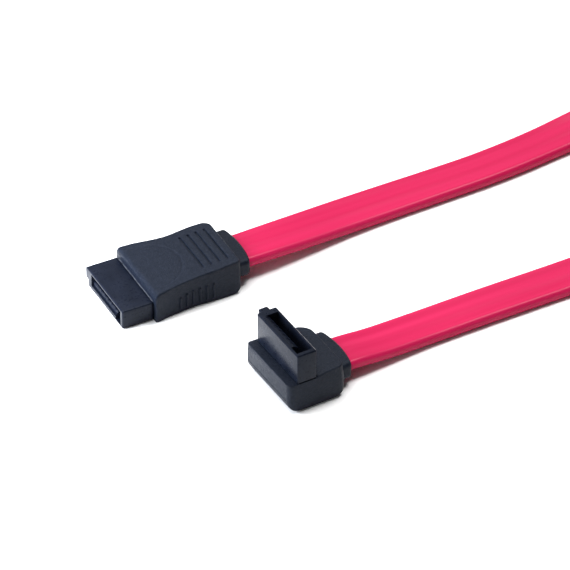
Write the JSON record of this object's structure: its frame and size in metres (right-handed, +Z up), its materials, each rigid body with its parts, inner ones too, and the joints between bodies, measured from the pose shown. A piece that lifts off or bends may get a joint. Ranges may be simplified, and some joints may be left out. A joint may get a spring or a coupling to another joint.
{
  "type": "sata data cable",
  "caption": "Flat data cable with a straight seven-way plug on one end and a right-angle seven-way plug on the other, its spare length looped and tied.",
  "frame": {"origin": "middle of the flat underside of the straight plug's boot", "axes": "+X from the straight plug's mating face towards its cable, +Y across the plug towards its key rib, +Z up"},
  "size_m": [0.2471, 0.0565, 0.0113],
  "materials": {
    "boot_pvc": "matt moulded",
    "housing_plastic": "satin moulded",
    "inner_mould": "matt",
    "contact_gold": "bright plated",
    "tinned_wire": "bright",
    "core_insulation": "satin",
    "jacket_pvc": "satin",
    "tie_nylon": "satin"
  },
  "bodies": {
    "root": {"straight_boot": "boot_pvc", "straight_housing": "housing_plastic", "straight_inner_mould": "inner_mould", "straight_contact_1": "contact_gold", "straight_contact_2": "contact_gold", "straight_contact_3": "contact_gold", "straight_contact_4": "contact_gold", "straight_contact_5": "contact_gold", "straight_contact_6": "contact_gold", "straight_contact_7": "contact_gold", "straight_core_1": "core_insulation", "straight_core_2": "core_insulation", "straight_core_3": "core_insulation", "straight_core_4": "core_insulation", "straight_wire_1": "tinned_wire", "straight_wire_2": "tinned_wire", "straight_wire_3": "tinned_wire", "straight_wire_4": "tinned_wire", "straight_drain_1": "tinned_wire", "straight_drain_2": "tinned_wire", "straight_drain_3": "tinned_wire", "angle_boot": "boot_pvc", "angle_housing": "housing_plastic", "angle_inner_mould": "inner_mould", "angle_contact_1": "contact_gold", "angle_contact_2": "contact_gold", "angle_contact_3": "contact_gold", "angle_contact_4": "contact_gold", "angle_contact_5": "contact_gold", "angle_contact_6": "contact_gold", "angle_contact_7": "contact_gold", "angle_core_1": "core_insulation", "angle_core_2": "core_insulation", "angle_core_3": "core_insulation", "angle_core_4": "core_insulation", "angle_wire_1": "tinned_wire", "angle_wire_2": "tinned_wire", "angle_wire_3": "tinned_wire", "angle_wire_4": "tinned_wire", "angle_drain_1": "tinned_wire", "angle_drain_2": "tinned_wire", "angle_drain_3": "tinned_wire", "cable_jacket": "jacket_pvc", "cable_tie": "tie_nylon"}
  },
  "joints": []
}
